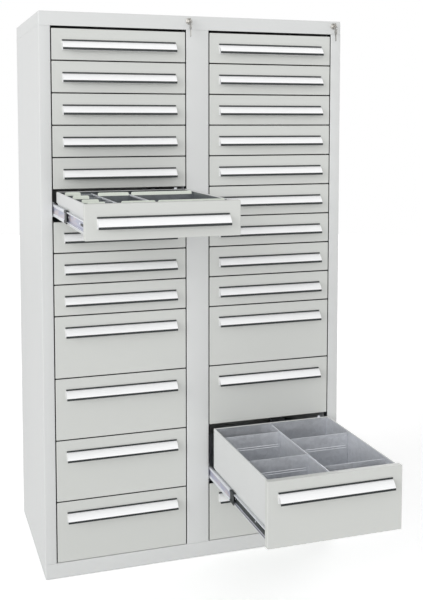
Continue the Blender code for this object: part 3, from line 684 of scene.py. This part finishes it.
class CABINET_OT_carcass(bpy.types.Operator):
    """Make the folded side panels, the middle partition, the back, the top cover and the base"""

    bl_idname = "cabinet.carcass"
    bl_label = "Carcass"

    def execute(self, context):
        sheet, bend = sizes().sheet, sizes().bend
        half, front, rear = CABINET_WIDTH / 2, FRONT_PLANE, FRONT_PLANE + CABINET_DEPTH
        low, high = (corner.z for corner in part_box("left_side_panel"))
        inner, lip = half - SIDE_STILE, front + STILE_DEPTH
        path = [(inner, lip), (inner, front), (half, front), (half, rear), (half - REAR_RETURN, rear)]
        section, materials = folded(path, sheet, bend), ["carcass_coat", "dark_trim"]
        for side, sign in SIDES.items():
            shell = Shell().add(carried(section * (sign, 1), "Z", (low, high)))
            self.add_gap_shade(shell, sign * inner, low, high)
            shell.piece(side + "_side", "cabinet", "carcass_enamel", materials, [side + "_side_panel"])

        half, web, end = CENTRE_STILE / 2, sheet / 2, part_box("centre_partition")[1].y
        path = [(-half, lip), (-half, front), (half, front), (half, lip)]
        shell = Shell().add(carried(folded(path, sheet, bend), "Z", (low, high)))
        shell.add(carried(box_outline((-web, front + sheet), (web, end)), "Z", (low, high)))
        for x in (-half, half):
            self.add_gap_shade(shell, x, low, high)
        shell.piece("middle_stile", "cabinet", "carcass_enamel", materials, ["centre_partition"])

        low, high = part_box("back_panel")
        outline = bar((low.x, low.z), (high.x, high.z), sheet)
        shell = Shell().add(softened(outline, "Y", low.y, high.y, sheet / 4))
        rivet = turned(RIVET_PROFILE, DISC_POINTS)
        for x in (low.x + RIVET_MARGIN, high.x - RIVET_MARGIN):
            for z in np.linspace(low.z + 2 * RIVET_MARGIN, high.z - 2 * RIVET_MARGIN, RIVETS):
                shell.add(rivet, offset=(x, high.y, z))
        shell.piece("rear_wall", "cabinet", "carcass_enamel", ["carcass_coat"], ["back_panel"])
        self.make_lid()
        self.make_plinth()
        return {"FINISHED"}

    def add_gap_shade(self, shell, x, low, high):
        """Adds a dark strip of painted shade on a stile's edge, behind its front, where the gap lies in
        shade.
        """
        start, end = FRONT_PLANE + GAP_SHADE_START, FRONT_PLANE + STILE_DEPTH - GAP_SHADE_START
        outline = box_outline((x - GAP_SHADE_RISE, start), (x + GAP_SHADE_RISE, end))
        shell.add(carried(outline, "Z", (low, high)), 1)

    def make_lid(self):
        """A deep lid: rings of a rounded rectangle go down the inside, up the outside and over the edge."""
        sheet, bend = sizes().sheet, sizes().bend
        low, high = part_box("top_cover")
        edge = sheet + bend
        inside, outside = sheet + bend * (1 - np.cos(QUARTER)), edge * (1 - np.cos(QUARTER))
        distances = [*inside[::-1], sheet, 0, *outside, edge * FLAT_MARGIN]
        levels = [*(high.z - edge + bend * np.sin(QUARTER))[::-1], low.z, low.z]
        levels += [*(high.z - edge + edge * np.sin(QUARTER)), high.z]
        rings = [rounded(low, high, edge, distance) for distance in distances]
        shell = Shell().add(carried(rings, "Z", levels))
        shell.piece("lid", "cabinet", "carcass_enamel", ["carcass_coat"], ["top_cover"])

    def make_plinth(self):
        """The base: such rings down the inside to a flange and up the outside, and a strip in the middle."""
        sheet, bend = sizes().sheet, sizes().bend
        low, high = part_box("base_frame")
        edge = sheet + bend

        def skin(depth, radius):
            """The rings of one face of the sheet at a depth: from the flange's edge round the two bends."""
            spread, rise = depth + radius * (1 - np.cos(QUARTER)), radius * np.sin(QUARTER)
            levels = [low.z + depth, *(low.z + edge - rise)[::-1], *(high.z - edge + rise)]
            distances = [FLOOR_FLANGE, *spread[::-1], *spread]
            return [rounded(low, high, edge, distance) for distance in distances], levels

        outer, outer_z = skin(0.0, edge)
        inner, inner_z = skin(sheet, bend)
        shell = Shell().add(carried(inner[::-1] + outer, "Z", inner_z[::-1] + outer_z))
        half = CENTRE_STILE / 2
        outline = box_outline((-half, low.y + FLOOR_FLANGE), (half, high.y - FLOOR_FLANGE))
        shell.add(carried(outline, "Z", (low.z, low.z + sheet)))
        shell.piece("plinth", "cabinet", "carcass_enamel", ["carcass_coat"], ["base_frame"])


class CABINET_OT_racks(bpy.types.Operator):
    """Finish the uprights, the cabinet slide members and the locking bars in zinc"""

    bl_idname = "cabinet.racks"
    bl_label = "Slide racks and bars"

    def execute(self, context):
        for column in SIDES:
            for hand in SIDES:
                refinish(f"{column}_column_{hand}_rack", "slide_zinc")
            refinish(column + "_locking_bar", "slide_zinc")
        return {"FINISHED"}


class CABINET_OT_fronts(bpy.types.Operator):
    """Make the drawer fronts: folded pans with a softly rounded face"""

    bl_idname = "cabinet.fronts"
    bl_label = "Drawer fronts"

    def execute(self, context):
        sheet, edge = sizes().sheet, sizes().front_edge
        turn = QUARTER[::-1]
        half, gap = FRONT_HALF - FRONT_PLAY, FRONT_GAP / 2 + FRONT_PLAY
        distances = [edge * FLAT_MARGIN, *(edge * (1 - np.cos(turn)))]
        distances += [0, FRONT_RETURN, FRONT_RETURN, sheet, sheet]
        for name, middle, face, seam, height in drawer_places():
            low, high = (middle - half, seam + gap), (middle + half, seam + height - gap)
            back = face + FRONT_DEPTH
            depths = [face, *(face + edge * (1 - np.sin(turn)))]
            depths += [back, back, back - sheet, back - sheet, face + sheet]
            rings = [rounded(low, high, edge, distance) for distance in distances]
            shell = Shell().add(carried(rings, "Y", depths))
            # painted shade: a dark band round a shut front's edges, deep in the gap to its neighbours
            if name not in OPEN_DRAWERS:
                rises = (GAP_SHADE_RISE, -GAP_SHADE_RISE, -GAP_SHADE_RISE, GAP_SHADE_RISE)
                rings = [rounded(low, high, edge, rise) for rise in rises]
                start, end = face + GAP_SHADE_START, back - GAP_SHADE_RISE
                shell.add(carried(rings, "Y", [start, start, end, end]), 1, hole=True)
            replaced = stands_for(name, "front") or [name]
            shell.piece(name + "_face", name, "drawer_enamel", ["drawer_coat", "dark_trim"], replaced)
        return {"FINISHED"}


class CABINET_OT_handles(bpy.types.Operator):
    """Make the hood handles with their fine lines, and the dark top strip and dark lip that paint the shade
    over and under each hood
    """

    bl_idname = "cabinet.handles"
    bl_label = "Handles"

    def section(self, lip):
        """The hood's section in (y, z) from its top rear corner.

        A shallow arc from (0, 0) to the lip: with s from 0 to 1, the chord s (y1, z1) moved out along its
        normal by 4 bulge s (1 - s), less a groove exp(-((s - s0) / w)^2) at three s0. Inside is the same arc,
        moved in by the wall, and behind it the web that lies on the front.
        """
        end = np.array([HOOD_SETBACK - HANDLE_REACH, lip - HOOD_LAP - HANDLE_HEIGHT])
        out = np.array([end[1], -end[0]]) / np.linalg.norm(end)

        def arc(s, push):
            return s[:, None] * end + (4 * HOOD_BULGE * s * (1 - s) + push)[:, None] * out

        s = np.linspace(0, 1, HOOD_POINTS)
        groove = sum(np.exp(-(((s - place) / GROOVE_WIDTH) ** 2)) for place in HOOD_GROOVES)
        outer = arc(s, -sizes().groove_depth * groove)
        inner = arc(np.linspace(1, HOOD_ROOT, HOOD_INNER_POINTS), np.full(HOOD_INNER_POINTS, -HOOD_WALL))
        return np.vstack([[(0, -HANDLE_HEIGHT)], outer, inner, [(-HOOD_WEB, -HANDLE_HEIGHT)]])

    def execute(self, context):
        lip, strip = sizes().lip_height, sizes().strip_height
        hood = self.section(lip)
        lip_corner = (LIP_SHEET - HANDLE_REACH, lip - HANDLE_HEIGHT)
        lip_shade_outline = bar((-HANDLE_REACH, -HANDLE_HEIGHT), lip_corner, LIP_CORNER)
        strip_shade_outline = bar((-STRIP_SHEET, -STRIP_LAP), (0, strip - STRIP_LAP), STRIP_CORNER)
        for name, middle, face, seam, height in drawer_places():
            ends = (middle - HANDLE_HALF, middle + HANDLE_HALF)
            offset = (0, face, seam + height - HANDLE_TOP_DROP)
            shell = Shell().add(carried(hood, "X", ends), offset=offset)
            replaced = stands_for(name, "handle")
            shell.piece(name + "_hood", name, "anodised_handle", ["bright_handle"], replaced)
            # the dark lip under the hood and the dark strip over it are painted shade
            shell = Shell().add(carried(lip_shade_outline, "X", ends), offset=offset)
            shell.add(carried(strip_shade_outline, "X", ends), offset=offset)
            shell.piece(name + "_handle_trim", name, "anodised_handle", ["dark_trim"])
        return {"FINISHED"}


class CABINET_OT_trays(bpy.types.Operator):
    """Make the folded trays, enamelled outside and galvanised inside"""

    bl_idname = "cabinet.trays"
    bl_label = "Trays"

    def execute(self, context):
        sheet, bend = sizes().sheet, sizes().bend
        inner = TRAY_HALF - sheet
        for name, middle, face, seam, height in drawer_places():
            floor, skirt, rim = seam + FLOOR_RISE, seam + SKIRT_RISE, seam + height - RIM_DROP
            right = [(RIM_HALF, skirt), (RIM_HALF, rim), (inner, rim), (inner, floor + sheet)]
            left = [(-x, z) for x, z in reversed(right)]
            section = folded(right + left, sheet, bend)
            x, z = side_middles(section).T
            inside = (np.abs(x) < inner + sheet / 4) & (z > floor + sheet / 2) & (z < rim - bend - sheet)
            front, back = face + TRAY_START, face + TRAY_REAR
            rings = carried(section + (middle, 0), "Y", (front, back - sheet / 2))
            shell = Shell().add(rings, inside.astype(int))
            ends = (middle - inner - END_LAP, middle + inner + END_LAP)
            section = folded([(back, floor), (back, rim), (back - REAR_RIM, rim)], sheet, bend)
            inside = self.galvanised_side(section, back - sheet, rim - sheet, 1)
            shell.add(carried(section, "X", ends), inside)
            section = bar((front, floor), (front + sheet, rim), sheet / 5)
            shell.add(carried(section, "X", ends), self.galvanised_side(section, front, rim, -1))
            start = middle + inner - CATCH_SETBACK
            catch = bar((start, rim - sheet), (start + CATCH_WIDTH, rim + CATCH_RISE), sheet)
            shell.add(softened(catch, "Y", back - sheet, back, sheet / 4), 2)
            # small trays take the darker zinc: painted shade for their deep insides
            inner_sheet = "galvanised_sheet" if height > SMALL_HEIGHT else "dull_galvanised"
            materials, replaced = ["carcass_coat", inner_sheet, "slide_zinc"], stands_for(name, "tray")
            shell.piece(name + "_tray_shell", name, "carcass_enamel", materials, replaced)
        return {"FINISHED"}

    def galvanised_side(self, section, y, rim, sign):
        """1 for the sides of an end wall that face into the tray, 0 for the others."""
        across, up = side_middles(section).T
        faces_in = (across - y) * sign < INNER_FACE_MARGIN * sign
        return (faces_in & (up < rim - INNER_RIM_MARGIN)).astype(int)


class CABINET_OT_slides(bpy.types.Operator):
    """Make the slide members of every drawer, with their screws, levers, ball cages and plastic ends"""

    bl_idname = "cabinet.slides"
    bl_label = "Slides"

    def channel(self, web, tip, half):
        """A channel's section in (x, z): a turned-in lip, the web at one x and the other lip."""
        upper = [(tip, half - SLIDE_LIP), (tip, half), (web, half)]
        path = upper + [(x, -z) for x, z in reversed(upper)]
        return folded(path if tip > web else path[::-1], SLIDE_SHEET, SLIDE_BEND)

    def raced_channel(self):
        """A middle member's section in (x, z): a channel whose web stands back between the ball races."""
        slope = MID_WEB - MID_GROOVE_WEB
        upper = [(MID_TIP, MID_HALF - SLIDE_LIP), (MID_TIP, MID_HALF), (MID_WEB, MID_HALF),
                 (MID_WEB, MID_GROOVE_HALF + slope), (MID_GROOVE_WEB, MID_GROOVE_HALF)]
        path = upper + [(x, -z) for x, z in reversed(upper)]
        return folded(path[::-1], SLIDE_SHEET, SLIDE_BEND)

    def web_sides(self, section, half):
        """2 for the sides of a section that lie on its web, within half a height, and 0 for the others."""
        return np.where(np.abs(side_middles(section)[:, 1]) < half, 2, 0)

    def add_fittings(self, shell, x, sign, face, z):
        """Adds three domed screws on the web and a plastic lever behind the front."""
        head = turned(SCREW_PROFILE, DISC_POINTS)
        for share in SCREW_SHARES:
            y = face + SLIDE_FRONT + share * (SLIDE_REAR - SLIDE_FRONT)
            shell.add(head[..., (1, 0, 2)] * (sign, 1, 1), offset=(x, y, z))
        low, high = face + SLIDE_FRONT + LEVER_START, face + SLIDE_FRONT + LEVER_END
        outline = bar((low, -LEVER_HALF), (high, LEVER_HALF), LEVER_CORNER)
        lever = softened(outline, "X", 0, LEVER_SHEET, LEVER_EDGE)
        shell.add(lever * (sign, 1, 1), 1, offset=(x, 0, z))

    def execute(self, context):
        member, materials = self.raced_channel(), ["slide_zinc", "dark_trim", "slide_film"]
        for name, middle, face, seam, height in drawer_places():
            z, is_open = seam + SLIDE_RISE, name in OPEN_DRAWERS
            tip, half = (RUNNER_TIP, RUNNER_HALF) if is_open else (MID_WEB, MID_HALF)
            runner = self.channel(RUNNER_WEB, tip, half)
            start, end = face + SLIDE_FRONT, face + SLIDE_REAR
            for hand, sign in SIDES.items():
                web = self.web_sides(runner, RUNNER_FILM_HALF)
                shell = Shell().add(carried(runner * (sign, 1) + (middle, z), "Y", (start, end)), web)
                inside = middle + sign * (RUNNER_WEB + SLIDE_SHEET)
                self.add_fittings(shell, inside, sign, face, z)
                # the ball cage also paints the shade deep in the runner's channel
                if height > SMALL_HEIGHT:
                    corner = (inside + sign * CAGE_SHEET, z + CAGE_HALF)
                    outline = bar((inside, z - CAGE_HALF), corner, CAGE_SHEET / 4)
                    shell.add(carried(outline, "Y", (start + SLIDE_SHEET, end - SLIDE_SHEET)), 1)
                prefix, replaced = f"{name}_{hand}", stands_for(name, hand + "_runner")
                shell.piece(prefix + "_drawer_member", name, "zinc_plate", materials, replaced)
                if is_open:
                    node, body = prefix + "_mid_member", name + "_mid_slide"
                    front, rear = (corner.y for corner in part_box(node))
                    section = member * (sign, 1) + (middle, z)
                    web = self.web_sides(member, MID_GROOVE_HALF)
                    shell = Shell().add(carried(section, "Y", (front + SLIDE_NOSE, rear)), web)
                    shell.add(carried(section, "Y", (front, front + SLIDE_NOSE)), 1)
                    shell.piece(prefix + "_middle_member", body, "zinc_plate", materials, [node])
        return {"FINISHED"}


class CABINET_OT_dividers(bpy.types.Operator):
    """Make the divider plates of the open drawers and the label holders on them"""

    bl_idname = "cabinet.dividers"
    bl_label = "Dividers"

    def plate(self, shell, axis, at, span, level):
        """Adds a plate that stands across an axis, with rounded upper corners, and cut edges in bright zinc
        that paints a highlight along them.
        """
        half = sizes().divider_sheet / 2
        radii = np.array([half, half, PLATE_CORNER, PLATE_CORNER])
        outline = bar((span[0], level[0]), (span[1], level[1]), radii, CORNER_STEPS)
        # every side but the first is bright zinc: a painted highlight along the plate's cut edges
        edges = np.minimum(np.arange(len(outline)), 1)
        shell.add(softened(outline, axis, at - half, at + half, PLATE_EDGE * half, 2), edges)

    def hem(self, shell, at, span, top):
        """Adds the fold along a partition's top edge, in bright zinc that paints a highlight along it."""
        section = bar((at - HEM_WIDTH / 2, top - HEM_HEIGHT), (at + HEM_WIDTH / 2, top), HEM_WIDTH / 2)
        shell.add(carried(section, "Y", (span[0] + PLATE_CORNER, span[1] - PLATE_CORNER)), 1)

    def ribs(self, shell, at, span, top):
        """Adds the two ribs that are pressed along a cross plate."""
        for drop in RIB_DROPS:
            outline = circle(RIB_RADIUS, RIB_POINTS, (at, top - drop))
            shell.add(carried(outline, "X", (span[0] + RIB_MARGIN, span[1] - RIB_MARGIN)))

    def holder(self, shell, at, span, top):
        """Adds a label holder over a plate's edge, leaning back by HOLDER_LEAN of its height."""
        radii = np.array(HOLDER_CORNERS) * MM
        outline = bar((span[0], top - HOLDER_DROP), (span[1], top + HOLDER_RISE), radii, CORNER_STEPS)
        rings = softened(outline, "Y", at - HOLDER_DEPTH / 2, at + HOLDER_DEPTH / 2, HOLDER_EDGE)
        rings[..., 1] += HOLDER_LEAN * (rings[..., 2] - top)
        shell.add(rings)

    def execute(self, context):
        for name, plan in DIVIDERS.items():
            low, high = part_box(name + "_dividers")
            gap, level = sizes().divider_sheet / 2, (low.z, high.z)
            walls = [low.x, *(low.x + share * (high.x - low.x) for share in plan["partitions"]), high.x]
            plates, holders = Shell(), Shell()
            for x in walls[1:-1]:
                self.plate(plates, "X", x, (low.y, high.y), level)
                self.hem(plates, x, (low.y, high.y), high.z)
            for left, right, rows, label in zip(walls, walls[1:], plan["rows"], plan["labels"]):
                middle = left + TAB_SHARE * (right - left)
                spans = {"tab": (middle - TAB_WIDTH / 2, middle + TAB_WIDTH / 2),
                         "strip": (left + HOLDER_MARGIN, right - HOLDER_MARGIN)}
                for share in rows:
                    y = low.y + share * (high.y - low.y)
                    self.plate(plates, "Y", y, (left + gap, right - gap), level)
                    self.ribs(plates, y, (left, right), high.z)
                    if label:
                        self.holder(holders, y, spans[label], high.z)
            materials = [plan["sheet"], "slide_zinc"]
            plates.piece(name + "_plates", name, "zinc_plate", materials, [name + "_dividers"])
            if holders.points:
                holders.piece(name + "_label_holders", name, "zinc_plate", ["label_holder"])
        return {"FINISHED"}


class CABINET_OT_locks(bpy.types.Operator):
    """Make the lock barrels, the plugs with their cams and keys, and the rings with the spare keys"""

    bl_idname = "cabinet.locks"
    bl_label = "Locks and keys"

    def key(self, shell, place, turned_down):
        """Adds a key round its bow's middle, in the Y-Z plane. Its blade points to +Y, or down."""

        def put(rings, hole=False):
            if turned_down:
                rings = rings[..., (0, 2, 1)] * (1, 1, -1)
            shell.add(rings, hole=hole, offset=place)

        half, reach = KEY_SHEET / 2, KEY_WIDTH / 2
        start = KEY_BOW - KEY_NECK
        end = start + KEY_BLADE
        bow, hole = circle(KEY_BOW, TURNED_POINTS), circle(KEY_HOLE, TURNED_POINTS, (-KEY_HOLE_OFFSET, 0))
        put(pierced(bow, hole, -half, half, KEY_EDGE), True)
        teeth = [(end - KEY_BLADE * share, reach - depth * MM) for share, depth in KEY_CUTS]
        point, point_half = KEY_TIP
        tip = [(end - point, -reach), (end, -point_half), (end, point_half)]
        outline = fillet([(start, -reach), *tip, *teeth, (start, reach)], KEY_CORNER, 2)
        put(softened(outline, "X", -BLADE_SHARE * half, BLADE_SHARE * half, BLADE_EDGE, 2))
        low, high = (start + KEY_RIB_MARGINS[0], -KEY_RIB_HALF), (end - KEY_RIB_MARGINS[1], KEY_RIB_HALF)
        put(softened(bar(low, high, KEY_RIB_CORNER), "X", -half, half, BLADE_EDGE, 2))

    def execute(self, context):
        for side, middle in COLUMN_X.items():
            x = middle + OPENING_HALF + LOCK_SETOVER
            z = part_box("top_cover")[1].z - LOCK_DROP
            centre = (x, FRONT_PLANE, z)
            shell = Shell().add(turned(BARREL_PROFILE), hole=True, offset=centre)
            shell.piece(side + "_barrel", "cabinet", "nickel_plate", ["nickel"], [side + "_lock_housing"])

            shell = Shell().add(turned(PLUG_PROFILE), offset=centre)
            pin = circle(PIN_RADIUS, PIN_POINTS, (0, -PIN_DROP))
            shell.add(carried(pin, "Y", PIN_SPAN), offset=centre)
            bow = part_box(side + "_lock_plug_and_key")[0].y + KEY_BOW
            self.key(shell, (x, bow, z), False)
            body, replaced = side + "_lock_plug", [side + "_lock_plug_and_key"]
            shell.piece(side + "_plug_and_key", body, "nickel_plate", ["nickel"], replaced)

            body = side + "_key_ring"
            low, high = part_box(body)
            ring = (x, (low.y + high.y) / 2, (low.z + high.z) / 2)
            shell = Shell().add(self.split_ring(), offset=ring)
            shell.piece(side + "_split_ring", body, "nickel_plate", ["nickel"], [body])

            body = side + "_spare_key"
            low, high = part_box(body)
            shell = Shell()
            self.key(shell, (x, (low.y + high.y) / 2, high.z - KEY_BOW), True)
            shell.piece(side + "_hanging_key", body, "nickel_plate", ["nickel"], [body])
        return {"FINISHED"}

    def split_ring(self):
        """Two turns of wire side by side: (R cos a, p, R sin a), with p half the wire * tanh 3 (a - 2 pi)."""
        along, around = RING_POINTS
        a = np.linspace(RING_END, 4 * np.pi - RING_END, along)[:, None]
        b = np.linspace(0, 2 * np.pi, around, endpoint=False)[None]
        across = WIRE_THICKNESS / 2 * (np.tanh(3 * (a - 2 * np.pi)) + np.sin(b))
        radius = RING_RADIUS + WIRE_THICKNESS / 2 * np.cos(b)
        return np.stack([radius * np.cos(a), across, radius * np.sin(a)], axis=-1)


class CABINET_OT_stage(bpy.types.Operator):
    """Set the camera, the even light and the pale floor"""

    bl_idname = "cabinet.stage"
    bl_label = "Stage"

    def execute(self, context):
        scene, stage = context.scene, context.scene.cabinet_stage
        camera = bpy.data.objects.new("camera", bpy.data.cameras.new("camera"))
        camera.location = CAMERA_PLACE
        camera.rotation_euler = (math.pi / 2 + stage.pitch, 0, stage.yaw)
        camera.data.lens = stage.lens
        camera.data.shift_y = CAMERA_SHIFT
        scene.collection.objects.link(camera)
        scene.camera = camera

        for side, (tilt, turn) in LIGHTS.items():
            sun = bpy.data.objects.new(side + "_light", bpy.data.lights.new(side + "_light", "SUN"))
            sun.data.energy = getattr(stage, side + "_sun")
            sun.data.angle = SUN_SPREAD
            sun.rotation_euler = (math.radians(tilt), 0, math.radians(turn))
            scene.collection.objects.link(sun)

        world = bpy.data.worlds.new("even_sky")
        world.use_nodes = True
        scene.world = world
        wire = Wire(world.node_tree)
        rays = ("Is Camera Ray", "Is Glossy Ray", "Is Transmission Ray")
        seen, glossy, through = (wire.node("LightPath", {}, {}, ray) for ray in rays)
        plain = wire.maths("MAXIMUM", seen, wire.maths("MAXIMUM", glossy, through))
        background = world.node_tree.nodes["Background"]
        background.inputs["Color"].default_value = (1, 1, 1, 1)
        connect(background.inputs, "Strength", plain + stage.sky * (1 - plain))

        finish, wire, inputs = new_finish("pale_floor")
        seen = wire.node("LightPath", {}, {}, "Is Camera Ray")
        shade = (0.985 + 0.015 * wire.noise(3.0)) * (1 + FLOOR_LIFT * seen)
        connect(inputs, "Base Color", shade.tinted([FLOOR_GREY] * 3))
        inputs["Roughness"].default_value = FLOOR_ROUGHNESS
        inputs["Specular IOR Level"].default_value = 0.0
        corners = carried(circle(FLOOR_RADIUS, FLOOR_POINTS), "Z", [-FLOOR_DROP])[0]
        floor = bpy.data.meshes.new("floor")
        floor.from_pydata(corners, [], [list(range(FLOOR_POINTS))])
        floor.materials.append(finish)
        thing = bpy.data.objects.new("floor", floor)
        scene.collection.objects.link(thing)
        scene.view_settings.view_transform = "Standard"
        return {"FINISHED"}


PIECES = (
    CABINET_OT_carcass, CABINET_OT_racks, CABINET_OT_fronts, CABINET_OT_handles, CABINET_OT_trays,
    CABINET_OT_slides, CABINET_OT_dividers, CABINET_OT_locks, CABINET_OT_stage,
)


class CABINET_PT_panel(bpy.types.Panel):
    """Lists the cabinet's pieces, sizes and colours"""

    bl_idname = "CABINET_PT_panel"
    bl_label = "Drawer Cabinet"
    bl_space_type = "VIEW_3D"
    bl_region_type = "UI"
    bl_category = "Cabinet"

    def draw(self, context):
        for piece in PIECES:
            self.layout.operator(piece.bl_idname)
        for group in GROUPS:
            settings = getattr(context.scene, group)
            column = self.layout.column(align=True)
            for name in type(settings).__annotations__:
                column.prop(settings, name)


GROUPS = {"cabinet_sizes": CabinetSizes, "cabinet_colours": CabinetColours, "cabinet_stage": StageSettings}


def register():
    """Registers the groups, the operators and the panel."""
    for group in (*GROUPS.values(), *PIECES, CABINET_PT_panel):
        bpy.utils.register_class(group)
    for name, group in GROUPS.items():
        setattr(bpy.types.Scene, name, PointerProperty(type=group))


def unregister():
    """Takes all of it out again."""
    for name in GROUPS:
        delattr(bpy.types.Scene, name)
    for group in (CABINET_PT_panel, *PIECES[::-1], *GROUPS.values()):
        bpy.utils.unregister_class(group)


def main():
    """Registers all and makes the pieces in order."""
    register()
    for piece in PIECES:
        module, call = piece.bl_idname.split(".")
        getattr(getattr(bpy.ops, module), call)()


if __name__ == "__main__":
    main()
